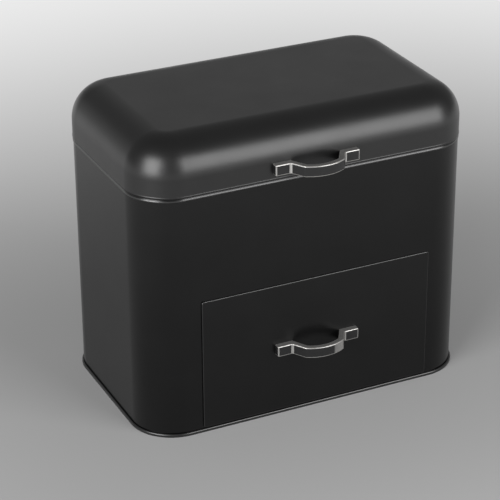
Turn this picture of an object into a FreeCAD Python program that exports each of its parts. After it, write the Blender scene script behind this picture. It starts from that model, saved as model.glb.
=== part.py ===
import FreeCAD, Part
import math
import os
import Sketcher

# A sheet-steel bread box with a hinged lid and one drawer.
# Frame: origin in the middle of the foot on the table, +X to the right, +Y to the back, +Z up. Millimetres.

doc = FreeCAD.newDocument("BreadBox")

# ---------------------------------------------------------------- sizes

SIZES = {
    "body_width": 296.8,  # wall, left to right outside
    "body_depth": 176.8,  # wall, front to back outside
    "body_corner": 36.5,  # plan radius of the wall's corners
    "body_sheet": 0.7,  # steel of the wall
    "bead_proud": 0.55,  # rolled edge beyond the wall
    "bead_height": 3.2,  # height of the rolled edge
    "lock_seam_width": 7,  # folded seam up the back of the wall
    "lock_seam_proud": 0.7,  # folded seam beyond the wall

    "overall_height": 260,  # table to the top of the lid
    "lid_height": 45.4,  # lid, from its hem to its top
    "lid_over_side": 0.4,  # lid beyond the wall at each side
    "lid_over_front": 1.4,  # lid beyond the wall at front and back
    "lid_corner_more": 1.5,  # plan radius of the lid's corners beyond the wall's
    "lid_edge_round": 30.3,  # large round along the lid's top edge
    "lid_sheet": 0.7,  # steel of the lid
    "lid_seat_gap": 0.4,  # gap between the lid's hem and the rolled edge
    "hem_proud": 0.25,  # lid hem beyond its skirt
    "hem_height": 1.8,  # height of the lid hem

    "seam_proud": 1.6,  # base seam beyond the wall
    "seam_height": 3,  # height of the base seam
    "seam_round": 1.1,  # round of the base seam's upper edge
    "seam_foot_round": 0.6,  # round of the base seam's lower edge
    "base_sheet": 0.7,  # steel of the base
    "floor_height": 6.4,  # top of the raised floor
    "weld_gap": 0.05,  # room between sheets that are welded or seamed

    "rim_rise": 6,  # neck ring above the rolled edge
    "rim_lap": 12,  # neck ring below the top of the wall
    "rim_sheet": 0.7,  # steel of the neck ring
    "rim_curl": 1.6,  # height and depth of the neck ring's curled edge
    "rim_round": 0.6,  # round of the neck ring's curled edge

    "shelf_over_front": 1.6,  # floor of the bread compartment above the drawer front
    "shelf_flange": 6.4,  # turned-down edge of the shelf
    "shelf_sheet": 0.7,  # steel of the shelf
    "shelf_round": 1.2,  # bend of the shelf's edge

    "drawer_shift": 3.6,  # drawer to the right of the middle
    "front_width": 208.2,  # drawer front, left to right
    "front_height": 116.2,  # drawer front, bottom to top
    "front_bottom": 4.2,  # drawer front above the table
    "front_proud": 1.5,  # drawer front's face beyond the wall
    "front_gap": 0.3,  # room between the drawer front and the wall
    "front_sheet": 0.7,  # steel of the drawer front
    "front_corner": 2,  # corner radius of the drawer front
    "front_edge_round": 0.5,  # round along the drawer front's edge
    "opening_lap_side": 5,  # drawer front past the cut-out at each side
    "opening_lap_top": 5.9,  # drawer front past the cut-out at the top
    "opening_corner": 3,  # corner radius of the cut-out
    "opening_return": 5,  # turned-in edge of the cut-out

    "tray_side_gap": 1,  # room between the tray and the cut-out
    "tray_lift": 0.3,  # room between the tray and its rails
    "tray_top_gap": 2.5,  # room between the tray and the top of the cut-out
    "tray_back_room": 12.4,  # room from the tray's rear wall to the outside of the box
    "tray_sheet": 0.7,  # steel of the tray
    "tray_corner": 2,  # plan radius of the tray's corners
    "tray_bend": 1.2,  # bend along the tray's bottom
    "tray_hem": 5,  # depth of the doubled edge of the tray
    "lip_rise": 2.4,  # tray's rear lip above its sides

    "rail_sheet": 1,  # steel of the rails
    "rail_gap": 0.7,  # room between the tray's side and a rail
    "rail_foot": 12,  # part of a rail that lies under the tray
    "rail_height": 14,  # height of a rail
    "rail_end_room": 8.4,  # room from the rails' ends to the outside of the box

    "stop_sheet": 0.9,  # steel of the drawer stops
    "stop_travel": 118.3,  # way of the drawer until its lip meets the stops
    "stop_width": 14,  # width of a drawer stop
    "stop_foot": 10,  # welded foot of a drawer stop
    "stop_spacing": 120,  # between the two drawer stops
    "stop_clear": 0.6,  # room between a stop and the tray's sides

    "hinge_spacing": 170,  # between the two hinges
    "hinge_out": 4.6,  # hinge axis behind the wall
    "leaf_width": 30,  # width of a hinge leaf
    "leaf_sheet": 1,  # steel of the hinge leaves
    "body_leaf_drop": 28,  # body leaf's end below the hinge axis
    "lid_leaf_rise": 14.8,  # lid leaf's end above the hinge axis
    "body_jog_far": 6.2,  # lower end of the body leaf's jog, from the axis
    "lid_jog_far": 4.8,  # upper end of the lid leaf's jog, from the axis
    "jog_near": 3.4,  # end of a jog that is next to the knuckle, from the axis
    "knuckle_half": 4.85,  # half the length of the lid leaf's knuckle
    "knuckle_gap": 0.35,  # room around a knuckle
    "stop_lug_reach": 4.3,  # end of the lid's stop lug, from the axis
    "stop_lug_top": 0.6,  # upper side of the lid's stop lug, above the axis
    "stop_angle": 106,  # turn of the lid until its lug meets the body leaf

    "pin_radius": 1.2,  # hinge pin
    "pin_gap": 0.05,  # running clearance of the hinge pin
    "pin_head_radius": 1.8,  # peened end of the hinge pin
    "pin_head": 0.8,  # thickness of a peened end
    "pin_end_gap": 0.1,  # room between a peened end and the knuckle

    "rivet_radius": 1.5,  # rivet shank
    "rivet_gap": 0.05,  # room around a rivet shank
    "rivet_head_radius": 2.9,  # rivet head
    "rivet_head": 1.2,  # thickness of a rivet head
    "rivet_head_round": 0.9,  # round of a rivet head
    "clinch_radius": 2.3,  # closed end of a rivet
    "clinch": 0.9,  # thickness of a rivet's closed end
    "rivet_inset_side": 6,  # rivets from the sides of a leaf
    "body_rivet_inset": 8,  # body leaf's rivets from its end
    "lid_rivet_inset": 4.6,  # lid leaf's rivets from its end

    "handle_length": 74.6,  # handle, end to end
    "handle_height": 9.3,  # height of the handle's bar
    "foot_depth": 5.4,  # handle foot, from its seat to its face
    "foot_inner": 24.2,  # inner end of a foot's face, from the middle
    "knee_across": 17.6,  # where the bow starts, from the middle
    "knee_out": 16.4,  # where the bow starts, from the seat
    "bow_reach": 21.4,  # handle's furthest point, from the seat
    "bar_thickness": 4.8,  # thickness of the handle's bar
    "knee_round": 3.2,  # outer round where the bow starts
    "crease_round": 2.2,  # hollow round where a foot ends
    "inner_knee_round": 1.2,  # inner round where the bow starts
    "bar_edge_round": 0.7,  # worn round along the bar's edges
    "lid_handle_rise": 10,  # middle of the lid handle above the lid's hem
    "drawer_handle_drop": 0.4,  # middle of the drawer handle below the middle of the front
    "drawer_handle_shift": -1.6,  # drawer handle from the middle of the drawer front

    "screw_inset": 6.5,  # screws from the ends of a handle
    "screw_radius": 2,  # handle screw, M4
    "screw_gap": 0.2,  # room around a screw in the sheet
    "thread_gap": 0.05,  # room around a screw in its threaded hole
    "thread_depth": 4,  # screw inside the handle foot
    "thread_spare": 0.4,  # threaded hole deeper than the screw
    "screw_head_radius": 3.2,  # screw head
    "screw_head": 2,  # thickness of a screw head
    "screw_head_round": 0.7,  # round of a screw head
    "cross_length": 3.4,  # cross recess, across
    "cross_width": 0.8,  # cross recess, width of an arm
    "cross_depth": 1.1,  # depth of the cross recess
    "washer_radius": 3.8,  # washer under a screw head
    "washer_thickness": 0.8,  # thickness of a washer
}

sheet = doc.addObject("Spreadsheet::Sheet", "Sizes")
for row, (alias, value) in enumerate(SIZES.items(), 1):
    sheet.set(f"A{row}", alias)
    sheet.set(f"B{row}", str(value))
    sheet.setAlias(f"B{row}", alias)
doc.recompute()

# Heights and faces that several pieces share, as expressions of the sizes.
WALL_X = "(Sizes.body_width / 2)"
WALL_Y = "(Sizes.body_depth / 2)"
LID_X = f"({WALL_X} + Sizes.lid_over_side)"
LID_Y = f"({WALL_Y} + Sizes.lid_over_front)"
LID_BOTTOM = "(Sizes.overall_height - Sizes.lid_height)"
BODY_TOP = f"({LID_BOTTOM} - Sizes.lid_seat_gap)"
INSIDE = "(Sizes.body_sheet + Sizes.weld_gap)"
RAIL_TOP = "(Sizes.floor_height + Sizes.rail_sheet)"
RAIL_END = f"({WALL_Y} - Sizes.rail_end_room)"

FRONT_Y = f"({WALL_Y} + Sizes.front_proud)"
FRONT_MIDDLE = "(Sizes.front_bottom + Sizes.front_height / 2)"
FRONT_TOP = "(Sizes.front_bottom + Sizes.front_height)"
SHELF_TOP = f"({FRONT_TOP} + Sizes.shelf_over_front)"
SHELF_UNDERSIDE = f"({SHELF_TOP} - Sizes.shelf_sheet)"
OPENING_HALF = "(Sizes.front_width / 2 - Sizes.opening_lap_side)"
OPENING_TOP = f"({FRONT_TOP} - Sizes.opening_lap_top)"
TRAY_HALF = f"({OPENING_HALF} - Sizes.tray_side_gap)"
TRAY_FRONT = f"({FRONT_Y} - Sizes.front_sheet)"
TRAY_BOTTOM = f"({RAIL_TOP} + Sizes.tray_lift)"
TRAY_TOP = f"({OPENING_TOP} - Sizes.tray_top_gap)"
TRAY_BACK = f"({WALL_Y} - Sizes.tray_back_room)"
STOP_Y = f"({TRAY_BACK} - Sizes.tray_sheet - Sizes.stop_travel)"

AXIS_Y = f"({WALL_Y} + Sizes.hinge_out)"
AXIS_Z = f"({BODY_TOP} + Sizes.lid_seat_gap / 2)"
KNUCKLE = "(Sizes.pin_radius + Sizes.pin_gap + Sizes.leaf_sheet)"
NOTCH = f"({KNUCKLE} + Sizes.knuckle_gap)"
RIVET_ACROSS = "(Sizes.leaf_width / 2 - Sizes.rivet_inset_side)"
BODY_RIVET_DROP = "(Sizes.body_leaf_drop - Sizes.body_rivet_inset)"
LID_RIVET_RISE = "(Sizes.lid_leaf_rise - Sizes.lid_rivet_inset)"
LID_HANDLE_Z = f"({LID_BOTTOM} + Sizes.lid_handle_rise)"
DRAWER_HANDLE_Z = f"({FRONT_MIDDLE} - Sizes.drawer_handle_drop)"
SCREW_ACROSS = "(Sizes.handle_length / 2 - Sizes.screw_inset)"
TOLERANCE = 1e-4


# ---------------------------------------------------------------- drawing helpers

def number(text):
    """The value of an expression of the sizes."""
    return float(sheet.evalExpression(text))


def vector(x, y, z=0.0):
    return FreeCAD.Vector(x, y, z)


def new_body(name, x="0", y="0", z="0"):
    """A sub-part in a frame of its own, whose origin lies at x, y, z."""
    body = doc.addObject("PartDesign::Body", name)
    body.Label = name
    for letter, text in (("x", x), ("y", y), ("z", z)):
        body.setExpression(f"Placement.Base.{letter}", text)
    return body


def new_sketch(body, plane, name, offset="0"):
    """A sketch parallel to an origin plane. The offset is up for XY, right for YZ, and forward for XZ."""
    sketch = body.newObject("Sketcher::SketchObject", f"{body.Name}_{name}_sketch")
    support = next(item for item in body.Origin.OriginFeatures if item.Role == f"{plane}_Plane")
    sketch.AttachmentSupport = (support, "")
    sketch.MapMode = "FlatFace"
    sketch.setExpression("AttachmentOffset.Base.z", offset)
    return sketch


def bind(sketch, kind, *where, text):
    """Add a dimension that follows an expression."""
    index = sketch.addConstraint(Sketcher.Constraint(kind, *where, number(text)))
    sketch.setExpression(f"Constraints[{index}]", text)


def place(sketch, geometry, point, x, y):
    """Pin one point of the sketch by its distances from the origin."""
    bind(sketch, "DistanceX", -1, 1, geometry, point, text=x)
    bind(sketch, "DistanceY", -1, 1, geometry, point, text=y)


def polygon(sketch, points):
    """A closed run of straight lines through points given as expressions."""
    ends = [vector(number(x), number(y)) for x, y in points]
    lines = [sketch.addGeometry(Part.LineSegment(a, b)) for a, b in zip(ends, ends[1:] + ends[:1])]
    for line, following in zip(lines, lines[1:] + lines[:1]):
        sketch.addConstraint(Sketcher.Constraint("Coincident", line, 2, following, 1))
    for line, (x, y) in zip(lines, points):
        place(sketch, line, 1, x, y)


def rectangle(sketch, left, right, low, high):
    polygon(sketch, [(left, low), (right, low), (right, high), (left, high)])


def circle(sketch, x, y, radius):
    centre = vector(number(x), number(y))
    index = sketch.addGeometry(Part.Circle(centre, vector(0, 0, 1), number(radius)))
    place(sketch, index, 3, x, y)
    bind(sketch, "Radius", index, text=radius)


def outline(sketch, left, right, low, high, corner):
    """A rectangle with rounded corners: four lines and four tangent arcs."""
    x0, x1, y0, y1, r = (number(text) for text in (left, right, low, high, corner))
    runs = [((x0 + r, y0), (x1 - r, y0)), ((x1, y0 + r), (x1, y1 - r)),
            ((x1 - r, y1), (x0 + r, y1)), ((x0, y1 - r), (x0, y0 + r))]
    centres = [(x1 - r, y0 + r), (x1 - r, y1 - r), (x0 + r, y1 - r), (x0 + r, y0 + r)]
    lines, arcs = [], []
    for turn, (run, centre) in enumerate(zip(runs, centres)):
        lines.append(sketch.addGeometry(Part.LineSegment(vector(*run[0]), vector(*run[1]))))
        begin = math.radians(90 * turn - 90)
        whole = Part.Circle(vector(*centre), vector(0, 0, 1), r)
        arcs.append(sketch.addGeometry(Part.ArcOfCircle(whole, begin, begin + math.pi / 2)))
    for line, arc, following in zip(lines, arcs, lines[1:] + lines[:1]):
        sketch.addConstraint(Sketcher.Constraint("Tangent", line, 2, arc, 1))
        sketch.addConstraint(Sketcher.Constraint("Tangent", arc, 2, following, 1))
    for line, direction in zip(lines, ("Horizontal", "Vertical", "Horizontal", "Vertical")):
        sketch.addConstraint(Sketcher.Constraint(direction, line))
    for arc in arcs[1:]:
        sketch.addConstraint(Sketcher.Constraint("Equal", arcs[0], arc))
    bind(sketch, "Radius", arcs[0], text=corner)
    bind(sketch, "DistanceY", -1, 1, lines[0], 1, text=low)
    bind(sketch, "DistanceX", -1, 1, lines[1], 1, text=right)
    bind(sketch, "DistanceY", -1, 1, lines[2], 1, text=high)
    bind(sketch, "DistanceX", -1, 1, lines[3], 1, text=left)


def body_outline(sketch, out):
    """The wall's plan outline, moved outward by an expression."""
    x, y = f"({WALL_X} + {out})", f"({WALL_Y} + {out})"
    outline(sketch, f"-{x}", x, f"-{y}", y, f"Sizes.body_corner + {out}")


def lid_outline(sketch, out):
    """The lid's plan outline, moved outward by an expression."""
    x, y = f"({LID_X} + {out})", f"({LID_Y} + {out})"
    outline(sketch, f"-{x}", x, f"-{y}", y, f"Sizes.body_corner + Sizes.lid_corner_more + {out}")


def pad(body, name, sketch, length, backward=False):
    """Add material along the sketch's normal, or against it."""
    feature = body.newObject("PartDesign::Pad", f"{body.Name}_{name}")
    feature.Profile = sketch
    feature.Reversed = backward
    feature.setExpression("Length", length)
    doc.recompute()


def pocket(body, name, sketch, length, along_normal=False):
    """Cut against the sketch's normal, or along it, and check that something was cut."""
    before = body.Shape.Volume
    feature = body.newObject("PartDesign::Pocket", f"{body.Name}_{name}")
    feature.Profile = sketch
    feature.Reversed = along_normal
    feature.setExpression("Length", length)
    doc.recompute()
    if feature.Shape.Volume > before - TOLERANCE:
        raise RuntimeError(f"{feature.Name} cuts nothing")


def fillet(body, name, radius, wanted):
    """Round the edges of the body's last feature that pass the test."""
    base = body.Tip
    edges = [f"Edge{place}" for place, edge in enumerate(base.Shape.Edges, 1) if wanted(edge.BoundBox)]
    if not edges:
        raise RuntimeError(f"{body.Name}_{name} finds no edge")
    feature = body.newObject("PartDesign::Fillet", f"{body.Name}_{name}")
    feature.Base = (base, edges)
    feature.setExpression("Radius", radius)
    doc.recompute()


def near(value, text):
    return abs(value - number(text)) < TOLERANCE


def level(box, text):
    """True for an edge that lies in the plane z = text."""
    return near(box.ZMin, text) and near(box.ZMax, text)


def roll(body, name, path, face, low, height, proud, steel):
    """A shallow rolled bulge along a wall. The path is the wall's outline, and y = -face its front."""
    radius = f"(({height} * {height} / 4 + {proud} * {proud}) / (2 * {proud}))"
    inside, high = f"(-{face} + {steel} / 2)", f"({low} + {height})"
    places = [(f"-{face}", low), (inside, low), (inside, high), (f"-{face}", high)]
    corners = [vector(number(x), number(y)) for x, y in places]
    swing = math.asin(number(f"{height} / 2") / number(radius))
    centre = vector(number(f"{radius} - {face} - {proud}"), number(f"{low} + {height} / 2"))
    whole = Part.Circle(centre, vector(0, 0, 1), number(radius))

    section = new_sketch(body, "YZ", name)
    lines = [section.addGeometry(Part.LineSegment(a, b)) for a, b in zip(corners, corners[1:])]
    lines.append(section.addGeometry(Part.ArcOfCircle(whole, math.pi - swing, math.pi + swing)))
    for line, following in zip(lines, lines[1:] + lines[:1]):
        section.addConstraint(Sketcher.Constraint("Coincident", line, 2, following, 1))
    for line, (x, y) in zip(lines, places):
        place(section, line, 1, x, y)
    bind(section, "Radius", lines[-1], text=radius)
    doc.recompute()
    feature = body.newObject("PartDesign::AdditivePipe", f"{body.Name}_{name}")
    feature.Profile = section
    feature.Spine = (path, [f"Edge{edge}" for edge in range(1, len(path.Shape.Edges) + 1)])
    doc.recompute()


def discs(body, name, places, radius, back, thickness):
    """Equal round discs that stand on end: their back faces lie at y = back."""
    sketch = new_sketch(body, "XZ", name, f"-({back})")
    for x, z in places:
        circle(sketch, x, z, radius)
    pad(body, name, sketch, thickness)


# ---------------------------------------------------------------- body_shell

def opening_outline(sketch, out):
    """The drawer's cut-out in the front wall, moved outward by an expression."""
    outline(sketch,
            f"Sizes.drawer_shift - {OPENING_HALF} - {out}", f"Sizes.drawer_shift + {OPENING_HALF} + {out}",
            f"{RAIL_TOP} - {out}", f"{OPENING_TOP} + {out}", f"Sizes.opening_corner + {out}")


def hinge_rivet_places(z):
    """The four rivets of both hinges at one height."""
    places = []
    for hinge in ("-", ""):
        for rivet in ("-", "+"):
            places.append((f"{hinge}Sizes.hinge_spacing / 2 {rivet} {RIVET_ACROSS}", z))
    return places


def make_body_shell():
    """Wrapped wall with a rolled top edge, a lock seam up the back and the drawer's cut-out."""
    body = new_body("body_shell")
    foot = "(Sizes.base_sheet + Sizes.weld_gap)"
    wall = new_sketch(body, "XY", "wall", foot)
    body_outline(wall, "0")
    body_outline(wall, "-Sizes.body_sheet")
    pad(body, "wall", wall, f"{BODY_TOP} - {foot}")

    bead_low = f"({BODY_TOP} - Sizes.bead_height)"
    path = new_sketch(body, "XY", "bead_path", bead_low)
    body_outline(path, "0")
    roll(body, "bead", path, WALL_Y, bead_low, "Sizes.bead_height", "Sizes.bead_proud", "Sizes.body_sheet")

    seam_low = "(Sizes.seam_height + Sizes.seam_round)"
    seam = new_sketch(body, "XY", "lock_seam", seam_low)
    rectangle(seam, "-Sizes.lock_seam_width / 2", "Sizes.lock_seam_width / 2",
              f"{WALL_Y} - Sizes.body_sheet / 2", f"{WALL_Y} + Sizes.lock_seam_proud")
    pad(body, "lock_seam", seam, f"{bead_low} - {seam_low}")

    opening = new_sketch(body, "XZ", "opening", WALL_Y)
    opening_outline(opening, "0")
    pocket(body, "opening", opening, "2 * Sizes.body_sheet")
    turned_in = new_sketch(body, "XZ", "opening_return", f"{WALL_Y} - Sizes.body_sheet")
    opening_outline(turned_in, "0")
    opening_outline(turned_in, "Sizes.body_sheet")
    pad(body, "opening_return", turned_in, "Sizes.opening_return", backward=True)

    holes = new_sketch(body, "XZ", "rivet_holes", f"-{WALL_Y}")
    for x, z in hinge_rivet_places(f"{AXIS_Z} - {BODY_RIVET_DROP}"):
        circle(holes, x, z, "Sizes.rivet_radius + Sizes.rivet_gap")
    pocket(body, "rivet_holes", holes, "2 * Sizes.body_sheet", along_normal=True)
    return body


# ---------------------------------------------------------------- rim_band

def make_rim_band():
    """Neck ring welded inside the wall. It stands up into the lid, with its edge curled inward."""
    body = new_body("rim_band")
    rim_low = f"({BODY_TOP} - Sizes.rim_lap)"
    rim_high = f"({BODY_TOP} + Sizes.rim_rise)"
    band = new_sketch(body, "XY", "band", rim_low)
    body_outline(band, f"-{INSIDE}")
    body_outline(band, f"-({INSIDE} + Sizes.rim_sheet)")
    pad(body, "band", band, f"{rim_high} - {rim_low}")

    curl = new_sketch(body, "XY", "curl", f"{rim_high} - Sizes.rim_curl")
    body_outline(curl, f"-{INSIDE}")
    body_outline(curl, f"-({INSIDE} + Sizes.rim_curl)")
    pad(body, "curl", curl, "Sizes.rim_curl")
    fillet(body, "curl_round", "Sizes.rim_round", lambda box: level(box, rim_high))
    return body


# ---------------------------------------------------------------- base_panel

def make_base_panel():
    """Pressed base: a channel seamed round the wall's foot, and a raised floor inside it."""
    body = new_body("base_panel")
    inner_leg = f"({INSIDE} + Sizes.base_sheet)"
    seam = new_sketch(body, "XY", "seam")
    body_outline(seam, "Sizes.seam_proud")
    pad(body, "seam", seam, "Sizes.seam_height")
    fillet(body, "seam_round", "Sizes.seam_round", lambda box: level(box, "Sizes.seam_height"))
    fillet(body, "seam_foot_round", "Sizes.seam_foot_round", lambda box: level(box, "0"))

    raised = new_sketch(body, "XY", "raised")
    body_outline(raised, f"-{INSIDE}")
    pad(body, "raised", raised, "Sizes.floor_height")

    channel = new_sketch(body, "XY", "channel", "Sizes.base_sheet")
    body_outline(channel, "Sizes.weld_gap")
    body_outline(channel, f"-{INSIDE}")
    pocket(body, "channel", channel, "Sizes.floor_height", along_normal=True)

    underside = new_sketch(body, "XY", "underside")
    body_outline(underside, f"-{inner_leg}")
    pocket(body, "underside", underside, "Sizes.floor_height - Sizes.base_sheet", along_normal=True)
    return body


# ---------------------------------------------------------------- shelf_panel

def make_shelf_panel():
    """Floor of the bread compartment, with its edge turned down against the wall."""
    body = new_body("shelf_panel")
    flange_low = f"({SHELF_TOP} - Sizes.shelf_flange)"
    plate = new_sketch(body, "XY", "plate", flange_low)
    body_outline(plate, f"-{INSIDE}")
    pad(body, "plate", plate, "Sizes.shelf_flange")
    fillet(body, "bend", "Sizes.shelf_round", lambda box: level(box, SHELF_TOP))

    underside = new_sketch(body, "XY", "underside", flange_low)
    body_outline(underside, f"-({INSIDE} + Sizes.shelf_sheet)")
    pocket(body, "underside", underside, "Sizes.shelf_flange - Sizes.shelf_sheet", along_normal=True)
    fillet(body, "inner_bend", "Sizes.shelf_round - Sizes.shelf_sheet",
           lambda box: level(box, SHELF_UNDERSIDE))
    return body


# ---------------------------------------------------------------- drawer_rail_left, drawer_rail_right

def make_drawer_rail(name, side):
    """Angle welded to the floor: its foot carries the tray, its upright guides the tray's side."""
    body = new_body(name, x="Sizes.drawer_shift")
    upright = f"({TRAY_HALF} + Sizes.rail_gap)"
    inner, outer = f"{side}({TRAY_HALF} - Sizes.rail_foot)", f"{side}({upright} + Sizes.rail_sheet)"
    guide = f"{side}{upright}"
    section = new_sketch(body, "XZ", "section", f"-{RAIL_END}")
    polygon(section, [
        (inner, "Sizes.floor_height"), (outer, "Sizes.floor_height"),
        (outer, "Sizes.floor_height + Sizes.rail_height"), (guide, "Sizes.floor_height + Sizes.rail_height"),
        (guide, RAIL_TOP), (inner, RAIL_TOP)])
    pad(body, "section", section, f"2 * {RAIL_END}")
    return body


# ---------------------------------------------------------------- drawer_stops

def make_drawer_stops():
    """Two angles welded under the shelf. The tray's rear lip runs up against them."""
    body = new_body("drawer_stops", x="Sizes.drawer_shift")
    tab_low = f"({TRAY_TOP} + Sizes.stop_clear)"
    feet = new_sketch(body, "XY", "feet", SHELF_UNDERSIDE)
    for side in ("-", ""):
        middle = f"{side}Sizes.stop_spacing / 2"
        rectangle(feet, f"{middle} - Sizes.stop_width / 2", f"{middle} + Sizes.stop_width / 2",
                  f"{STOP_Y} - Sizes.stop_foot", STOP_Y)
    pad(body, "feet", feet, "Sizes.stop_sheet", backward=True)

    tabs = new_sketch(body, "XZ", "tabs", f"-{STOP_Y}")
    for side in ("-", ""):
        middle = f"{side}Sizes.stop_spacing / 2"
        rectangle(tabs, f"{middle} - Sizes.stop_width / 2", f"{middle} + Sizes.stop_width / 2",
                  tab_low, SHELF_UNDERSIDE)
    pad(body, "tabs", tabs, "Sizes.stop_sheet")
    return body


# ---------------------------------------------------------------- hinges

def hinge_body(name, side):
    """An empty hinge piece in the frame of its own hinge axis."""
    return new_body(name, x=f"{side}Sizes.hinge_spacing / 2", y=AXIS_Y, z=AXIS_Z)


def leaf_plate(body, face, up, far, jog_far):
    """A leaf's plate and barrel: flat on the sheet at y = face, then a jog out to the knuckle."""
    half = "(Sizes.leaf_width / 2)"
    seat = f"({face} + Sizes.weld_gap)"
    inner, outer = f"-{KNUCKLE}", f"-{KNUCKLE} + Sizes.leaf_sheet"
    plate = new_sketch(body, "YZ", "plate", f"-{half}")
    polygon(plate, [
        (seat, f"{up}{far}"), (f"{seat} + Sizes.leaf_sheet", f"{up}{far}"),
        (f"{seat} + Sizes.leaf_sheet", f"{up}{jog_far}"), (outer, f"{up}Sizes.jog_near"),
        (outer, "0"), (inner, "0"), (inner, f"{up}Sizes.jog_near"), (seat, f"{up}{jog_far}")])
    pad(body, "plate", plate, "Sizes.leaf_width")
    barrel = new_sketch(body, "YZ", "barrel", f"-{half}")
    circle(barrel, "0", "0", KNUCKLE)
    pad(body, "barrel", barrel, "Sizes.leaf_width")
    return seat


def leaf_holes(body, seat, height):
    """The pin's bore and the two rivet holes."""
    bore = new_sketch(body, "YZ", "bore", "-Sizes.leaf_width / 2")
    circle(bore, "0", "0", "Sizes.pin_radius + Sizes.pin_gap")
    pocket(body, "bore", bore, "Sizes.leaf_width", along_normal=True)
    holes = new_sketch(body, "XZ", "rivet_holes", f"-({seat} + Sizes.leaf_sheet)")
    for side in ("-", ""):
        circle(holes, f"{side}{RIVET_ACROSS}", height, "Sizes.rivet_radius + Sizes.rivet_gap")
    pocket(body, "rivet_holes", holes, "Sizes.leaf_sheet", along_normal=True)


def make_hinge_body_leaf(name, side):
    """Leaf on the back wall, with a knuckle at each end."""
    body = hinge_body(name, side)
    seat = leaf_plate(body, "-Sizes.hinge_out", "-", "Sizes.body_leaf_drop", "Sizes.body_jog_far")
    gap_half = "(Sizes.knuckle_half + Sizes.knuckle_gap)"
    gap = new_sketch(body, "XY", "knuckle_gap", f"-{NOTCH}")
    rectangle(gap, f"-{gap_half}", gap_half, f"-{NOTCH}", NOTCH)
    pocket(body, "knuckle_gap", gap, f"2 * {NOTCH}", along_normal=True)
    leaf_holes(body, seat, f"-{BODY_RIVET_DROP}")
    return body


def make_hinge_lid_leaf(name, side):
    """Leaf on the lid's skirt, with the middle knuckle. Its lug meets the body leaf at full opening."""
    body = hinge_body(name, side)
    face = "(Sizes.lid_over_front - Sizes.hinge_out)"
    seat = leaf_plate(body, face, "", "Sizes.lid_leaf_rise", "Sizes.lid_jog_far")
    gaps = new_sketch(body, "XY", "knuckle_gaps", NOTCH)
    half = "(Sizes.leaf_width / 2)"
    rectangle(gaps, f"-{half}", "-Sizes.knuckle_half", f"-{NOTCH}", NOTCH)
    rectangle(gaps, "Sizes.knuckle_half", half, f"-{NOTCH}", NOTCH)
    pocket(body, "knuckle_gaps", gaps, f"2 * {NOTCH}")

    plate_edge = "(Sizes.pin_radius + Sizes.pin_gap)"
    lug_low = f"-({plate_edge} * sin(Sizes.stop_angle * 1 deg) + {NOTCH} * cos(Sizes.stop_angle * 1 deg))"
    lug = new_sketch(body, "YZ", "stop_lug", "-Sizes.knuckle_half")
    rectangle(lug, "0", "Sizes.stop_lug_reach", lug_low, "Sizes.stop_lug_top")
    pad(body, "stop_lug", lug, "2 * Sizes.knuckle_half")
    leaf_holes(body, seat, LID_RIVET_RISE)
    return body


def make_hinge_pin(name, side):
    """Plain pin, peened over at both ends."""
    body = hinge_body(name, side)
    reach = "(Sizes.leaf_width / 2 + Sizes.pin_end_gap)"
    shaft = new_sketch(body, "YZ", "shaft", f"-{reach}")
    circle(shaft, "0", "0", "Sizes.pin_radius")
    pad(body, "shaft", shaft, f"2 * {reach}")
    for end, offset in (("left_end", f"-({reach} + Sizes.pin_head)"), ("right_end", reach)):
        head = new_sketch(body, "YZ", end, offset)
        circle(head, "0", "0", "Sizes.pin_head_radius")
        pad(body, end, head, "Sizes.pin_head")
    return body


def make_hinge_rivets(name, height, sheet_outside, sheet_steel):
    """Four rivets through both leaves of one kind: head outside, shank, closed end inside."""
    body = new_body(name)
    places = hinge_rivet_places(height)
    leaf_face = f"({sheet_outside} + Sizes.weld_gap + Sizes.leaf_sheet)"
    sheet_inside = f"({sheet_outside} - {sheet_steel})"
    head_face = f"({leaf_face} + Sizes.rivet_head)"
    discs(body, "heads", places, "Sizes.rivet_head_radius", head_face, "Sizes.rivet_head")
    fillet(body, "head_round", "Sizes.rivet_head_round", lambda box: near(box.YMin, head_face))
    discs(body, "shanks", places, "Sizes.rivet_radius", leaf_face, f"{leaf_face} - {sheet_inside}")
    discs(body, "closed_ends", places, "Sizes.clinch_radius", sheet_inside, "Sizes.clinch")
    return body


# ---------------------------------------------------------------- lid_shell

def handle_screw_places(x, z):
    """The two screws of a handle whose middle is at x, z."""
    return [(f"{x} - {SCREW_ACROSS}", z), (f"{x} + {SCREW_ACROSS}", z)]


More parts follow.
